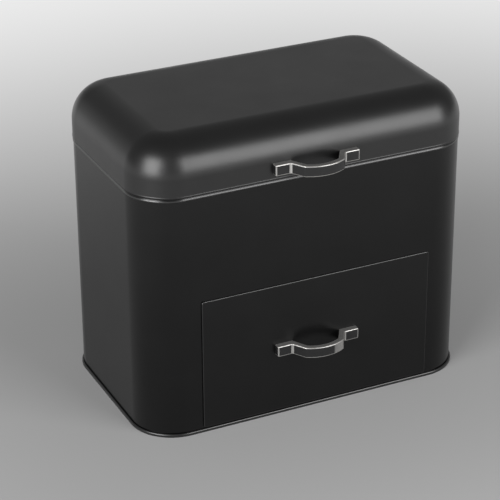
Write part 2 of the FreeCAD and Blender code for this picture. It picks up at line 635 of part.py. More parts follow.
def make_lid_shell():
    """Pressed lid: one large round along its top edge, and a small rolled hem round its skirt."""
    body = new_body("lid_shell")
    ceiling = "(Sizes.overall_height - Sizes.lid_sheet)"
    block = new_sketch(body, "XY", "block", LID_BOTTOM)
    lid_outline(block, "0")
    pad(body, "block", block, f"Sizes.overall_height - {LID_BOTTOM}")
    inside = new_sketch(body, "XY", "inside", LID_BOTTOM)
    lid_outline(inside, "-Sizes.lid_sheet")
    pocket(body, "inside", inside, f"{ceiling} - {LID_BOTTOM}", along_normal=True)
    fillet(body, "inner_round", "Sizes.lid_edge_round - Sizes.lid_sheet", lambda box: level(box, ceiling))
    fillet(body, "edge_round", "Sizes.lid_edge_round", lambda box: level(box, "Sizes.overall_height"))
    path = new_sketch(body, "XY", "hem_path", LID_BOTTOM)
    lid_outline(path, "0")
    roll(body, "hem", path, LID_Y, LID_BOTTOM, "Sizes.hem_height", "Sizes.hem_proud", "Sizes.lid_sheet")

    handle_holes = new_sketch(body, "XZ", "handle_holes", LID_Y)
    for x, z in handle_screw_places("0", LID_HANDLE_Z):
        circle(handle_holes, x, z, "Sizes.screw_radius + Sizes.screw_gap")
    pocket(body, "handle_holes", handle_holes, "2 * Sizes.lid_sheet")
    rivet_holes = new_sketch(body, "XZ", "rivet_holes", f"-{LID_Y}")
    for x, z in hinge_rivet_places(f"{AXIS_Z} + {LID_RIVET_RISE}"):
        circle(rivet_holes, x, z, "Sizes.rivet_radius + Sizes.rivet_gap")
    pocket(body, "rivet_holes", rivet_holes, "2 * Sizes.lid_sheet", along_normal=True)
    return body


# ---------------------------------------------------------------- drawer_front

def front_outline(sketch, inward):
    """The drawer front's outline about its own middle, moved inward by an expression."""
    x, z = f"(Sizes.front_width / 2 - {inward})", f"(Sizes.front_height / 2 - {inward})"
    outline(sketch, f"-{x}", x, f"-{z}", z, f"Sizes.front_corner - {inward}")


def make_drawer_front():
    """Flat front with its edge turned back all round. It lies over the cut-out."""
    depth = "(Sizes.front_proud - Sizes.front_gap)"
    body = new_body("drawer_front", x="Sizes.drawer_shift", z=FRONT_MIDDLE)
    plate = new_sketch(body, "XZ", "plate", f"{WALL_Y} + Sizes.front_gap")
    front_outline(plate, "0")
    pad(body, "plate", plate, depth)
    fillet(body, "edge_round", "Sizes.front_edge_round", lambda box: near(box.YMax, f"-{FRONT_Y}"))
    hollow = new_sketch(body, "XZ", "hollow", f"{WALL_Y} + Sizes.front_gap")
    front_outline(hollow, "Sizes.front_sheet")
    pocket(body, "hollow", hollow, f"{depth} - Sizes.front_sheet", along_normal=True)

    holes = new_sketch(body, "XZ", "screw_holes", FRONT_Y)
    for x, z in handle_screw_places("Sizes.drawer_handle_shift", "-Sizes.drawer_handle_drop"):
        circle(holes, x, z, "Sizes.screw_radius + Sizes.screw_gap")
    pocket(body, "screw_holes", holes, "2 * Sizes.front_sheet")
    return body


# ---------------------------------------------------------------- drawer_tray

def tray_outline(sketch, inward):
    """The tray's plan outline, moved inward by an expression."""
    half = f"({TRAY_HALF} - {inward})"
    outline(sketch, f"-{half}", half, f"-({TRAY_FRONT} - {inward})", f"{TRAY_BACK} - {inward}",
            f"Sizes.tray_corner - {inward}")


def make_drawer_tray():
    """Folded open tray with a doubled edge. Its rear wall ends in a raised lip for the stops."""
    body = new_body("drawer_tray", x="Sizes.drawer_shift")
    block = new_sketch(body, "XY", "block", TRAY_BOTTOM)
    tray_outline(block, "0")
    pad(body, "block", block, f"{TRAY_TOP} - {TRAY_BOTTOM}")
    fillet(body, "bend", "Sizes.tray_bend", lambda box: level(box, TRAY_BOTTOM))
    inside = new_sketch(body, "XY", "inside", TRAY_TOP)
    tray_outline(inside, "Sizes.tray_sheet")
    pocket(body, "inside", inside, f"{TRAY_TOP} - {TRAY_BOTTOM} - Sizes.tray_sheet")
    fillet(body, "inner_bend", "Sizes.tray_bend - Sizes.tray_sheet",
           lambda box: level(box, f"{TRAY_BOTTOM} + Sizes.tray_sheet"))

    hem = new_sketch(body, "XY", "hem", TRAY_TOP)
    tray_outline(hem, "Sizes.tray_sheet / 2")
    tray_outline(hem, "2 * Sizes.tray_sheet")
    pad(body, "hem", hem, "Sizes.tray_hem", backward=True)
    lip = new_sketch(body, "XY", "lip", f"{TRAY_TOP} - Sizes.tray_sheet")
    across = f"({TRAY_HALF} - Sizes.tray_corner)"
    rectangle(lip, f"-{across}", across, f"{TRAY_BACK} - Sizes.tray_sheet", TRAY_BACK)
    pad(body, "lip", lip, "Sizes.lip_rise + Sizes.tray_sheet")

    holes = new_sketch(body, "XZ", "screw_holes", TRAY_FRONT)
    for x, z in handle_screw_places("Sizes.drawer_handle_shift", DRAWER_HANDLE_Z):
        circle(holes, x, z, "Sizes.screw_radius + Sizes.screw_gap")
    pocket(body, "screw_holes", holes, "2 * Sizes.tray_sheet")
    return body


# ---------------------------------------------------------------- lid_handle, drawer_handle

LID_HANDLE = {"x": "0", "y": f"-{LID_Y}", "z": LID_HANDLE_Z}
DRAWER_HANDLE = {"x": "Sizes.drawer_shift + Sizes.drawer_handle_shift", "y": f"-{FRONT_Y}",
                 "z": DRAWER_HANDLE_Z}


def bar_plan(sketch):
    """The handle from above: two feet on the seat (y = 0), and a bar that steps out into a bow."""
    end, foot, face = "(Sizes.handle_length / 2)", "Sizes.foot_inner", "Sizes.foot_depth"
    knee, out, steel = "Sizes.knee_across", "Sizes.knee_out", "Sizes.bar_thickness"
    rise = f"(Sizes.bow_reach - {out})"
    bow = f"(({knee} * {knee} + {rise} * {rise}) / (2 * {rise}))"

    # Points of the right half, from the knee to the inner knee, with the last two to be solved.
    pinned = [(knee, f"-{out}"), (foot, f"-{face}"), (end, f"-{face}"), (end, "0")]
    right = [vector(number(x), number(y)) for x, y in pinned]
    run = (right[0] - right[1]).normalize()
    inward = vector(run.y, -run.x) * number(steel)
    start = right[1] + inward
    right.append(start - run * (start.y / run.y))
    right.append(right[0] + inward)
    left = [vector(-point.x, point.y) for point in right]

    halves = []
    for half in (right, left):
        halves.append([sketch.addGeometry(Part.LineSegment(a, b)) for a, b in zip(half, half[1:])])

    centre = vector(0, number(f"{bow} - Sizes.bow_reach"))
    arcs = []
    for point, radius in ((right[0], bow), (right[5], f"{bow} - {steel}")):
        swing = math.asin(point.x / number(radius))
        whole = Part.Circle(centre, vector(0, 0, 1), number(radius))
        arcs.append(sketch.addGeometry(Part.ArcOfCircle(whole, 1.5 * math.pi - swing, 1.5 * math.pi + swing)))
        bind(sketch, "Radius", arcs[-1], text=radius)
    sketch.addConstraint(Sketcher.Constraint("Coincident", arcs[0], 3, arcs[1], 3))

    for lines, sign, arc_end in ((halves[0], "", 2), (halves[1], "-", 1)):
        for first, second in zip(lines, lines[1:]):
            sketch.addConstraint(Sketcher.Constraint("Coincident", first, 2, second, 1))
        for line, (x, y) in zip(lines, pinned):
            place(sketch, line, 1, f"{sign}{x}", y)
        sketch.addConstraint(Sketcher.Constraint("Coincident", lines[0], 1, arcs[0], arc_end))
        sketch.addConstraint(Sketcher.Constraint("Coincident", lines[-1], 2, arcs[1], arc_end))
        sketch.addConstraint(Sketcher.Constraint("PointOnObject", lines[-1], 1, -1))
        sketch.addConstraint(Sketcher.Constraint("Parallel", lines[0], lines[-1]))
        bind(sketch, "Distance", lines[-1], 2, lines[0], text=steel)
    doc.recompute()
    inner_knee = sketch.Geometry[halves[0][-1]].EndPoint
    return inner_knee.x, inner_knee.y


def upright_at(box, x, y):
    """True for an upright edge this far to the left or right of the middle, at y."""
    here = vector(abs(box.Center.x), box.Center.y)
    return box.XLength < TOLERANCE and here.distanceToPoint(vector(x, y)) < TOLERANCE


def make_handle(name, seat):
    """Cast bow pull: a flat bar on edge with two square feet, tapped from behind for its screws."""
    body = new_body(name, **seat)
    half_height = "Sizes.handle_height / 2"
    plan = new_sketch(body, "XY", "plan", f"-{half_height}")
    inner_knee = bar_plan(plan)
    pad(body, "bar", plan, "Sizes.handle_height")
    knee = number("Sizes.knee_across"), -number("Sizes.knee_out")
    crease = number("Sizes.foot_inner"), -number("Sizes.foot_depth")
    end = number("Sizes.handle_length / 2"), -number("Sizes.foot_depth")
    fillet(body, "knee_round", "Sizes.knee_round", lambda box: upright_at(box, *knee))
    fillet(body, "crease_round", "Sizes.crease_round", lambda box: upright_at(box, *crease))
    fillet(body, "inner_knee_round", "Sizes.inner_knee_round", lambda box: upright_at(box, *inner_knee))
    fillet(body, "end_round", "Sizes.bar_edge_round", lambda box: upright_at(box, *end))
    fillet(body, "edge_round", "Sizes.bar_edge_round",
           lambda box: (level(box, half_height) or level(box, f"-{half_height}")) and box.YMin < -TOLERANCE)

    threads = new_sketch(body, "XZ", "threads")
    for x, z in handle_screw_places("0", "0"):
        circle(threads, x, z, "Sizes.screw_radius + Sizes.thread_gap")
    pocket(body, "threads", threads, "Sizes.thread_depth + Sizes.thread_spare", along_normal=True)
    return body


# ---------------------------------------------------------------- handle screws and washers

def make_washers(name, seat, stack):
    """Two flat washers against the inside of the sheet, which is stack thick."""
    body = new_body(name, **seat)
    rings = new_sketch(body, "XZ", "rings", f"-({stack} + Sizes.washer_thickness)")
    for x, z in handle_screw_places("0", "0"):
        circle(rings, x, z, "Sizes.washer_radius")
        circle(rings, x, z, "Sizes.screw_radius + Sizes.screw_gap")
    pad(body, "rings", rings, "Sizes.washer_thickness")
    return body


def make_screws(name, seat, stack):
    """Two pan-head screws from inside, through washer and sheet into the handle's feet."""
    body = new_body(name, **seat)
    under_head = f"({stack} + Sizes.washer_thickness)"
    top = f"({under_head} + Sizes.screw_head)"
    places = handle_screw_places("0", "0")
    discs(body, "heads", places, "Sizes.screw_head_radius", top, "Sizes.screw_head")
    fillet(body, "head_round", "Sizes.screw_head_round", lambda box: near(box.YMin, top))
    discs(body, "shanks", places, "Sizes.screw_radius", under_head, f"{under_head} + Sizes.thread_depth")
    long, short = "Sizes.cross_length / 2", "Sizes.cross_width / 2"
    for slot, across, up in (("level_slot", long, short), ("upright_slot", short, long)):
        recess = new_sketch(body, "XZ", slot, f"-{top}")
        for x, z in places:
            rectangle(recess, f"{x} - {across}", f"{x} + {across}", f"{z} - {up}", f"{z} + {up}")
        pocket(body, slot, recess, "Sizes.cross_depth", along_normal=True)
    return body


# ---------------------------------------------------------------- all pieces

def make_all():
    lid_stack = "Sizes.lid_sheet"
    drawer_stack = "(Sizes.front_sheet + Sizes.tray_sheet)"
    body_rivets = f"{AXIS_Z} - {BODY_RIVET_DROP}"
    lid_rivets = f"{AXIS_Z} + {LID_RIVET_RISE}"
    bodies = [
        make_body_shell(),
        make_rim_band(),
        make_base_panel(),
        make_shelf_panel(),
        make_drawer_rail("drawer_rail_left", "-"),
        make_drawer_rail("drawer_rail_right", ""),
        make_drawer_stops(),
        make_hinge_rivets("hinge_body_rivets", body_rivets, WALL_Y, "Sizes.body_sheet"),
        make_hinge_rivets("hinge_lid_rivets", lid_rivets, LID_Y, "Sizes.lid_sheet"),
        make_lid_shell(),
        make_handle("lid_handle", LID_HANDLE),
        make_washers("lid_handle_washers", LID_HANDLE, lid_stack),
        make_screws("lid_handle_screws", LID_HANDLE, lid_stack),
        make_drawer_front(),
        make_drawer_tray(),
        make_handle("drawer_handle", DRAWER_HANDLE),
        make_washers("drawer_handle_washers", DRAWER_HANDLE, drawer_stack),
        make_screws("drawer_handle_screws", DRAWER_HANDLE, drawer_stack),
    ]
    for word, side in (("left", "-"), ("right", "")):
        bodies.append(make_hinge_body_leaf(f"hinge_body_leaf_{word}", side))
        bodies.append(make_hinge_lid_leaf(f"hinge_lid_leaf_{word}", side))
        bodies.append(make_hinge_pin(f"hinge_pin_{word}", side))
    return bodies


def check(bodies):
    """Stop at any object that failed, and at any sub-part without a valid shape."""
    doc.recompute()
    for item in doc.Objects:
        if "Invalid" in item.State or "Error" in item.State:
            raise RuntimeError(f"{item.Name} failed: {item.State}")
    for body in bodies:
        if body.Shape.isNull() or not body.Shape.isValid():
            raise RuntimeError(f"{body.Label} has no valid shape")


def write(bodies):
    os.makedirs("parts", exist_ok=True)
    for body in bodies:
        body.Shape.exportStep(f"parts/{body.Label}.step")
        print(f"{body.Label}: {len(body.Shape.Solids)} solid(s), {body.Shape.Volume:.1f} mm3")


pieces = make_all()
check(pieces)
write(pieces)
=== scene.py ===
import bpy, bmesh, math
from mathutils import Matrix, Vector


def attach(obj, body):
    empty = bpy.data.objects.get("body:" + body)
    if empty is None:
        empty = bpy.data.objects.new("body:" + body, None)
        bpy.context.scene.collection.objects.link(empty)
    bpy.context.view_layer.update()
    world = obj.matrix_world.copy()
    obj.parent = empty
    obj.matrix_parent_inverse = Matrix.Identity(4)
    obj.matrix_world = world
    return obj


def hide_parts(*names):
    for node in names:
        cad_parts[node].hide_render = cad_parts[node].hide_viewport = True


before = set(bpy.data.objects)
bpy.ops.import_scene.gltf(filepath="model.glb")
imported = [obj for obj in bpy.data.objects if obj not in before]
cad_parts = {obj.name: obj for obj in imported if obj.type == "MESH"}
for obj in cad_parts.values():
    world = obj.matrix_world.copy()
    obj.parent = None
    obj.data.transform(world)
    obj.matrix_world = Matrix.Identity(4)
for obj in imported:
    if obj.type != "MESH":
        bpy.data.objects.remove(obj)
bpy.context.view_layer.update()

# ---------------------------------------------------------------- base panel
# The bottom is one pressing of 0.7 mm steel, sprayed black with the wall. Its rim is folded round the foot of
# the wall and closed on it as a seam that shows all round; inside, its floor stands 6.4 mm above the table.

MM = 0.001
SHEET = 0.7                       # all panels, in millimetres like every size below
WALL_HALF = (148.4, 88.4)         # half the width and depth over the wall's outer face
WALL_CORNER = 36.5                # radius of the wall's upright corners
INNER_FACE = -0.75                # what fits inside the wall ends this far in from its outer face
FLOOR_TOP = 6.4
FLOOR_BEND = 1.2
SEAM_HIGH = 3.0
SEAM_OUT = 1.6
SEAM_BEND = 1.1
SEAM_CURL = 0.3                   # the folded edge where it closes on the wall
SEAM_GAP = 0.05
FOOT_ROUND = 0.6
HAIR = 0.02                       # a flat's last points lie this close to the bend beside it
CREASE_ANGLE = 32                 # edges sharper than this, in degrees, stay sharp
CLOUD_WAVES = 26                  # waves of the noise in a metre: clouds in the gloss, orange peel, dust
PEEL_WAVES = 620
DUST_WAVES = 2600
DUST_SHARE = 0.35
GRAIN_DEPTH = 0.1 * MM
CLOUD_DARK = (0.85, 0.85, 0.86)   # the enamel's tone where a cloud is darkest and lightest
CLOUD_LIGHT = (1.15, 1.15, 1.18)


def turn_round(half, corner, out, z, steps=16):
    """One turn round a rectangle with rounded corners, out beyond it, at height z, from the front right."""
    radius = corner + out
    x = half[0] + out - radius
    y = half[1] + out - radius
    points = []
    for quarter, (cx, cy) in enumerate(((x, -y), (x, y), (-x, y), (-x, -y))):
        for step in range(steps + 1):
            angle = math.radians(90 * quarter - 90 + 90 * step / steps)
            points.append((cx + radius * math.cos(angle), cy + radius * math.sin(angle), z))
    return points


def bend(centre, radius, start, end, steps=6):
    """Points (out, height) of a bend in the section, from one angle to another in degrees."""
    angles = [math.radians(start + (end - start) * step / steps) for step in range(steps + 1)]
    return [(centre[0] + radius * math.cos(a), centre[1] + radius * math.sin(a)) for a in angles]


def row_of(bm, points):
    """Put a row of points, given in millimetres, into the mesh."""
    return [bm.verts.new([value * MM for value in point]) for point in points]


def loft(bm, rings, first_lid=False, last_lid=False, joined=False):
    """Faces from ring to ring. The first and last ring are closed by a lid, or joined to each other."""
    rows = [row_of(bm, ring) for ring in rings]
    bands = list(zip(rows, rows[1:]))
    if joined:
        bands.append((rows[-1], rows[0]))
    for low, high in bands:
        for place in range(len(low)):
            after = (place + 1) % len(low)
            bm.faces.new((low[place], low[after], high[after], high[place]))
    if first_lid:
        bm.faces.new(rows[0])
    if last_lid:
        bm.faces.new(rows[-1])
    return rows


def made(name, bm, materials, body, stands_for, sheet=0.0):
    """Turn the faces into a piece that rides on a body. An open skin gets the thickness of its sheet."""
    bmesh.ops.recalc_face_normals(bm, faces=bm.faces[:])
    mesh = bpy.data.meshes.new(name)
    bm.to_mesh(mesh)
    bm.free()
    mesh.shade_smooth()
    mesh.set_sharp_from_angle(angle=math.radians(CREASE_ANGLE))
    for material in materials:
        mesh.materials.append(material)
    piece = bpy.data.objects.new(name, mesh)
    bpy.context.scene.collection.objects.link(piece)
    if sheet:
        thickness = piece.modifiers.new("sheet", "SOLIDIFY")
        thickness.thickness = sheet * MM
        thickness.offset = -1.0
        thickness.use_even_offset = True
    shading = piece.modifiers.new("flats", "WEIGHTED_NORMAL")
    shading.keep_sharp = True
    shading.weight = 100
    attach(piece, body)
    if stands_for:
        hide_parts(*stands_for)


def feed(tree, socket, value):
    """Link another node's output to a socket, or write a plain value in it."""
    if isinstance(value, bpy.types.NodeSocket):
        tree.links.new(value, socket)
    else:
        socket.default_value = value


def knot(tree, kind, **inputs):
    """A node with some of its inputs fed."""
    node = tree.nodes.new("ShaderNode" + kind)
    for word, value in inputs.items():
        feed(tree, node.inputs[word.replace("_", " ")], value)
    return node


def between(tree, value, low, high, to_low, to_high):
    """Map a value from one range to another."""
    node = knot(tree, "MapRange", Value=value, From_Min=low, From_Max=high, To_Min=to_low, To_Max=to_high)
    return node.outputs["Result"]


def reckon(tree, how, one, other):
    """Add or multiply two values."""
    node = tree.nodes.new("ShaderNodeMath")
    node.operation = how
    feed(tree, node.inputs[0], one)
    feed(tree, node.inputs[1], other)
    return node.outputs["Value"]


def blend(tree, share, first, second, kind="RGBA"):
    """Go from the first colour to the second by a share; with kind FLOAT, from number to number."""
    node = tree.nodes.new("ShaderNodeMix")
    node.data_type = kind
    feed(tree, node.inputs["Factor"], share)
    feed(tree, node.inputs["A"], first)
    feed(tree, node.inputs["B"], second)
    return node.outputs["Result"]


def clouded(tree, shader, spot, waves, detail, dark, light, rough, spread):
    """Let a shader's colour and gloss drift in soft clouds over the surface."""
    cloud = knot(tree, "TexNoise", Vector=spot, Scale=waves, Detail=detail).outputs["Fac"]
    shade = blend(tree, between(tree, cloud, 0.3, 0.7, 0.0, 1.0), (*dark, 1), (*light, 1))
    feed(tree, shader.inputs["Base Color"], shade)
    feed(tree, shader.inputs["Roughness"], between(tree, cloud, 0.25, 0.75, rough - spread, rough + spread))


def sprayed_black(name, tone, rough, spread, peel, gloss):
    """Baked black enamel: cloudy gloss, a fine orange peel, and dust-fine specks in the film."""
    material = bpy.data.materials.new(name)
    material.use_nodes = True
    tree = material.node_tree
    paint = tree.nodes["Principled BSDF"]
    paint.inputs["Specular IOR Level"].default_value = gloss
    spot = knot(tree, "TexCoord").outputs["Object"]
    dark = [tone * share for share in CLOUD_DARK]
    light = [tone * share for share in CLOUD_LIGHT]
    clouded(tree, paint, spot, CLOUD_WAVES, 3.0, dark, light, rough, spread)
    peel_map = knot(tree, "TexNoise", Vector=spot, Scale=PEEL_WAVES, Detail=2.0).outputs["Fac"]
    dust = knot(tree, "TexNoise", Vector=spot, Scale=DUST_WAVES, Detail=1.0).outputs["Fac"]
    grain = reckon(tree, "ADD", peel_map, between(tree, dust, 0.0, 1.0, 0.0, DUST_SHARE))
    bump = knot(tree, "Bump", Height=grain, Strength=peel, Distance=GRAIN_DEPTH)
    feed(tree, paint.inputs["Normal"], bump.outputs["Normal"])
    return material


wall_black = sprayed_black("wall_black", tone=0.0014, rough=0.24, spread=0.03, peel=0.05, gloss=0.4)
edge_black = sprayed_black("edge_black", tone=0.0014, rough=0.3, spread=0.03, peel=0.03, gloss=1.0)

floor_bend = (INNER_FACE - FLOOR_BEND, FLOOR_TOP - FLOOR_BEND)
base_section = [(floor_bend[0] - HAIR, FLOOR_TOP)]
base_section += bend(floor_bend, FLOOR_BEND, 90, 0)
base_section += [(INNER_FACE, SHEET), (SEAM_GAP, SHEET)]
base_section += bend((SEAM_GAP + SEAM_CURL, SEAM_HIGH - SEAM_CURL), SEAM_CURL, 180, 90, 3)
base_section += bend((SEAM_OUT - SEAM_BEND, SEAM_HIGH - SEAM_BEND), SEAM_BEND, 90, 0, 8)
base_section += bend((SEAM_OUT - FOOT_ROUND, FOOT_ROUND), FOOT_ROUND, 0, -90, 5)
base_section += bend((INNER_FACE - SHEET + FOOT_ROUND, FOOT_ROUND), FOOT_ROUND, 270, 180, 4)
base_section += bend(floor_bend, FLOOR_BEND - SHEET, 0, 90, 4)
bm = bmesh.new()
loft(bm, [turn_round(WALL_HALF, WALL_CORNER, out, z) for out, z in base_section], True, True)
made("base_pressing", bm, [edge_black], "cabinet", ["base_panel"])

# ---------------------------------------------------------------- wall
# One strip of 0.7 mm steel bent round the four corners and hooked to itself in a flat lock seam up the back.
# Its top edge is rolled outward into a small bead, and the drawer's cut-out has a 5 mm turned-in edge.

WALL_FOOT = 0.75
HOLE_SIDES = (-95.5, 102.7)
HOLE_HEIGHTS = (7.4, 114.5)
HOLE_CORNER = 3.0
HOLE_BEND = 0.9
HOLE_DEPTH = 5.7
HOLE_STEPS = 5
BEAD = [(0, 210.9), (0.12, 211.05), (0.3, 211.25), (0.45, 211.5), (0.53, 211.78), (0.55, 212.05),
        (0.52, 212.3), (0.44, 212.6), (0.32, 212.9), (0.19, 213.2), (0.08, 213.5), (0.02, 213.8), (0, 214.2)]
CREST = range(2, 8)               # the bands of the bead that stand out most and shine a little more
LOCK_SEAM = [(-3.5, 88.0), (-3.5, 88.75), (-3.4, 88.98), (-3.15, 89.1), (2.3, 89.1), (2.45, 89.0),
             (2.6, 88.86), (2.75, 89.0), (2.9, 89.02), (3.3, 88.95), (3.5, 88.7), (3.5, 88.0)]
LOCK_SEAM_HEIGHTS = (4.1, 210.9)


def hole_turn(out, y):
    """One turn round the cut-out, out beyond it, at depth y."""
    half = [(b - a) / 2 for a, b in (HOLE_SIDES, HOLE_HEIGHTS)]
    middle = [(a + b) / 2 for a, b in (HOLE_SIDES, HOLE_HEIGHTS)]
    turn = turn_round(half, HOLE_CORNER, out, 0, HOLE_STEPS)
    return [(middle[0] + x, y, middle[1] + z) for x, z, _ in turn]


wall_face = -WALL_HALF[1]
hole_left = HOLE_SIDES[0] - HOLE_BEND
hole_right = HOLE_SIDES[1] + HOLE_BEND
hole_low = HOLE_HEIGHTS[0] - HOLE_BEND
hole_high = HOLE_HEIGHTS[1] + HOLE_BEND
below_bead = [(0, WALL_FOOT), (0, hole_low), (0, hole_high)]
bm = bmesh.new()
rows = [row_of(bm, turn_round(WALL_HALF, WALL_CORNER, out, z)) for out, z in below_bead + BEAD]
for number, (low, high) in enumerate(zip(rows, rows[1:])):
    up_the_bead = number - len(below_bead)
    sides = len(low) if up_the_bead >= 0 else len(low) - 1
    for place in range(sides):
        after = (place + 1) % len(low)
        face = bm.faces.new((low[place], low[after], high[after], high[place]))
        face.material_index = 1 if up_the_bead in CREST else 0

turned_in = bend((HOLE_BEND, wall_face + HOLE_BEND), HOLE_BEND, -90, -180, HOLE_STEPS)[1:]
turned_in += [(0, wall_face + HOLE_DEPTH)]
hole_rows = loft(bm, [hole_turn(out, y) for out, y in [(HOLE_BEND, wall_face)] + turned_in])
edge = hole_rows[0]
arc = len(edge) // 4
corner_at = {}
for word, x, z in (("low_right", hole_right, hole_low), ("high_right", hole_right, hole_high),
                   ("high_left", hole_left, hole_high), ("low_left", hole_left, hole_low)):
    corner_at[word] = row_of(bm, [(x, wall_face, z)])[0]
for turn, word in enumerate(corner_at):
    run = edge[turn * arc:(turn + 1) * arc]
    for one, other in zip(run, run[1:]):
        bm.faces.new((corner_at[word], one, other))
right = [row[0] for row in rows]
left = [row[-1] for row in rows]
ends = [(edge[turn * arc], edge[(turn + 1) * arc - 1]) for turn in range(4)]
# The flats that close the front between the cut-out and the bends: below, right, left and above.
bm.faces.new((left[0], right[0], right[1], corner_at["low_right"], ends[0][0], ends[3][1],
              corner_at["low_left"], left[1]))
bm.faces.new((right[1], right[2], corner_at["high_right"], ends[1][0], ends[0][1], corner_at["low_right"]))
bm.faces.new((left[2], left[1], corner_at["low_left"], ends[3][0], ends[2][1], corner_at["high_left"]))
bm.faces.new((left[2], corner_at["high_left"], ends[2][0], ends[1][1], corner_at["high_right"], right[2],
              right[3], left[3]))
made("wall", bm, [wall_black, edge_black], "cabinet", ["body_shell"], sheet=SHEET)

bm = bmesh.new()
loft(bm, [[(x, y, z) for x, y in LOCK_SEAM] for z in LOCK_SEAM_HEIGHTS], True, True)
made("lock_seam", bm, [wall_black], "cabinet", None)

# ---------------------------------------------------------------- neck ring
# A strip of 0.7 mm steel welded inside the top of the wall, in a duller black. It stands 6 mm up into the
# lid, and its edge is curled inward so that no raw edge shows or cuts.

RING_LOW = 202.2
RING_HIGH = 220.2
RING_CURL = 0.8
CURL_TIP = 0.45
CURL_TIP_IN = 0.35
CURL_TIP_DOWN = 1.5
CURL_END_DOWN = 2.2

inside_black = sprayed_black("inside_black", tone=0.003, rough=0.44, spread=0.04, peel=0.06, gloss=0.4)

curl_middle = INNER_FACE - RING_CURL
ring_section = [(INNER_FACE, RING_LOW)]
ring_section += bend((curl_middle, RING_HIGH - RING_CURL), RING_CURL, 0, 180, 10)
ring_section += bend((curl_middle - CURL_TIP_IN, RING_HIGH - CURL_TIP_DOWN), CURL_TIP, 180, 300, 4)
ring_section += [(INNER_FACE - SHEET, RING_HIGH - CURL_END_DOWN), (INNER_FACE - SHEET, RING_LOW)]
bm = bmesh.new()
loft(bm, [turn_round(WALL_HALF, WALL_CORNER, out, z) for out, z in ring_section], joined=True)
made("neck_ring", bm, [inside_black], "cabinet", ["rim_band"])

# ---------------------------------------------------------------- shelf
# The floor of the bread compartment: one panel of 0.7 mm steel with its edge turned down 6 mm and welded to
# the wall all round, just above the drawer.

SHELF_TOP = 122.0
SHELF_LOW = 115.6
SHELF_BEND = 1.2

shelf_bend = (INNER_FACE - SHELF_BEND, SHELF_TOP - SHELF_BEND)
shelf_section = [(shelf_bend[0] - HAIR, SHELF_TOP)]
shelf_section += bend(shelf_bend, SHELF_BEND, 90, 0)
shelf_section += [(INNER_FACE, SHELF_LOW), (INNER_FACE - SHEET, SHELF_LOW)]
shelf_section += bend(shelf_bend, SHELF_BEND - SHEET, 0, 90, 4)
bm = bmesh.new()
loft(bm, [turn_round(WALL_HALF, WALL_CORNER, out, z) for out, z in shelf_section], True, True)
made("shelf", bm, [inside_black], "cabinet", ["shelf_panel"])

# ---------------------------------------------------------------- drawer rails and stops
# Angles of zinc-coated steel. The rails are welded to the floor: the tray slides on their feet and between
# their uprights. The two stops hang under the shelf and catch the tray's rear lip.

SPANGLE_WAVES = 90                # waves of the noise in a metre: patches of the coat, and drawing lines
LINE_WAVES = 900
DULL_SHARE = 0.82


def bare_metal(name, colour, rough, spread, stretch, depth):
    """Bare or plated steel with cloudy patches and fine drawing lines."""
    material = bpy.data.materials.new(name)
    material.use_nodes = True
    tree = material.node_tree
    metal = tree.nodes["Principled BSDF"]
    metal.inputs["Metallic"].default_value = 1.0
    spot = knot(tree, "TexCoord").outputs["Object"]
    dull = [value * DULL_SHARE for value in colour]
    clouded(tree, metal, spot, SPANGLE_WAVES, 4.0, dull, colour, rough, spread)
    lines = knot(tree, "Mapping", Vector=spot, Scale=stretch).outputs["Vector"]
    grain = knot(tree, "TexNoise", Vector=lines, Scale=LINE_WAVES, Detail=2.0).outputs["Fac"]
    bump = knot(tree, "Bump", Height=grain, Strength=depth, Distance=GRAIN_DEPTH)
    feed(tree, metal.inputs["Normal"], bump.outputs["Normal"])
    return material


def finished(names, material):
    """Give a finish to solids that are seen as they are."""
    for name in names:
        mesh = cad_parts[name].data
        mesh.materials.clear()
        mesh.materials.append(material)


zinc = bare_metal("zinc", (0.46, 0.47, 0.49), rough=0.42, spread=0.08, stretch=(1.0, 0.06, 1.0), depth=0.12)
finished(["drawer_rail_left", "drawer_rail_right", "drawer_stops"], zinc)

# ---------------------------------------------------------------- lid
# One deep pressing of 0.7 mm steel: a flat top, a large round of 30 mm down to a short straight skirt, and a
# small rolled hem round its edge, which comes down just over the bead of the wall.

LID_HALF = (148.8, 89.8)
LID_CORNER = 38.0
LID_LOW = 214.6
LID_TOP = 260.0
LID_ROUND = 30.3
HEM_HIGH = 216.4
HEM_PROUD = 0.25

lid_black = sprayed_black("lid_black", tone=0.0014, rough=0.365, spread=0.03, peel=0.05, gloss=0.67)


def rolled(low, high, proud, steps):
    """Section of a shallow bead that swells out of a wall between two heights."""
    half = (high - low) / 2
    radius = (half * half + proud * proud) / (2 * proud)
    swing = math.degrees(math.asin(half / radius))
    return bend((proud - radius, (low + high) / 2), radius, -swing, swing, steps)


lid_section = rolled(LID_LOW, HEM_HIGH, HEM_PROUD, 6)
lid_section += bend((-LID_ROUND, LID_TOP - LID_ROUND), LID_ROUND, 0, 90, 28)
bm = bmesh.new()
loft(bm, [turn_round(LID_HALF, LID_CORNER, out, z, 24) for out, z in lid_section], last_lid=True)
made("lid_pressing", bm, [lid_black], "lid", ["lid_shell"], sheet=SHEET)

# ---------------------------------------------------------------- hinges
# Two butt hinges of 1 mm steel, black like the box. Each leaf is held by two nickel-plated rivets, and a
# plain pin with peened ends runs through the three knuckles.

leaf_black = sprayed_black("leaf_black", tone=0.003, rough=0.4, spread=0.04, peel=0.06, gloss=0.4)
nickel = bare_metal("nickel", (0.58, 0.57, 0.55), rough=0.3, spread=0.06, stretch=(1.0, 1.0, 1.0), depth=0.05)
finished([f"hinge_{part}_leaf_{side}" for part in ("body", "lid") for side in ("left", "right")], leaf_black)
finished(["hinge_pin_left", "hinge_pin_right", "hinge_body_rivets", "hinge_lid_rivets"], nickel)

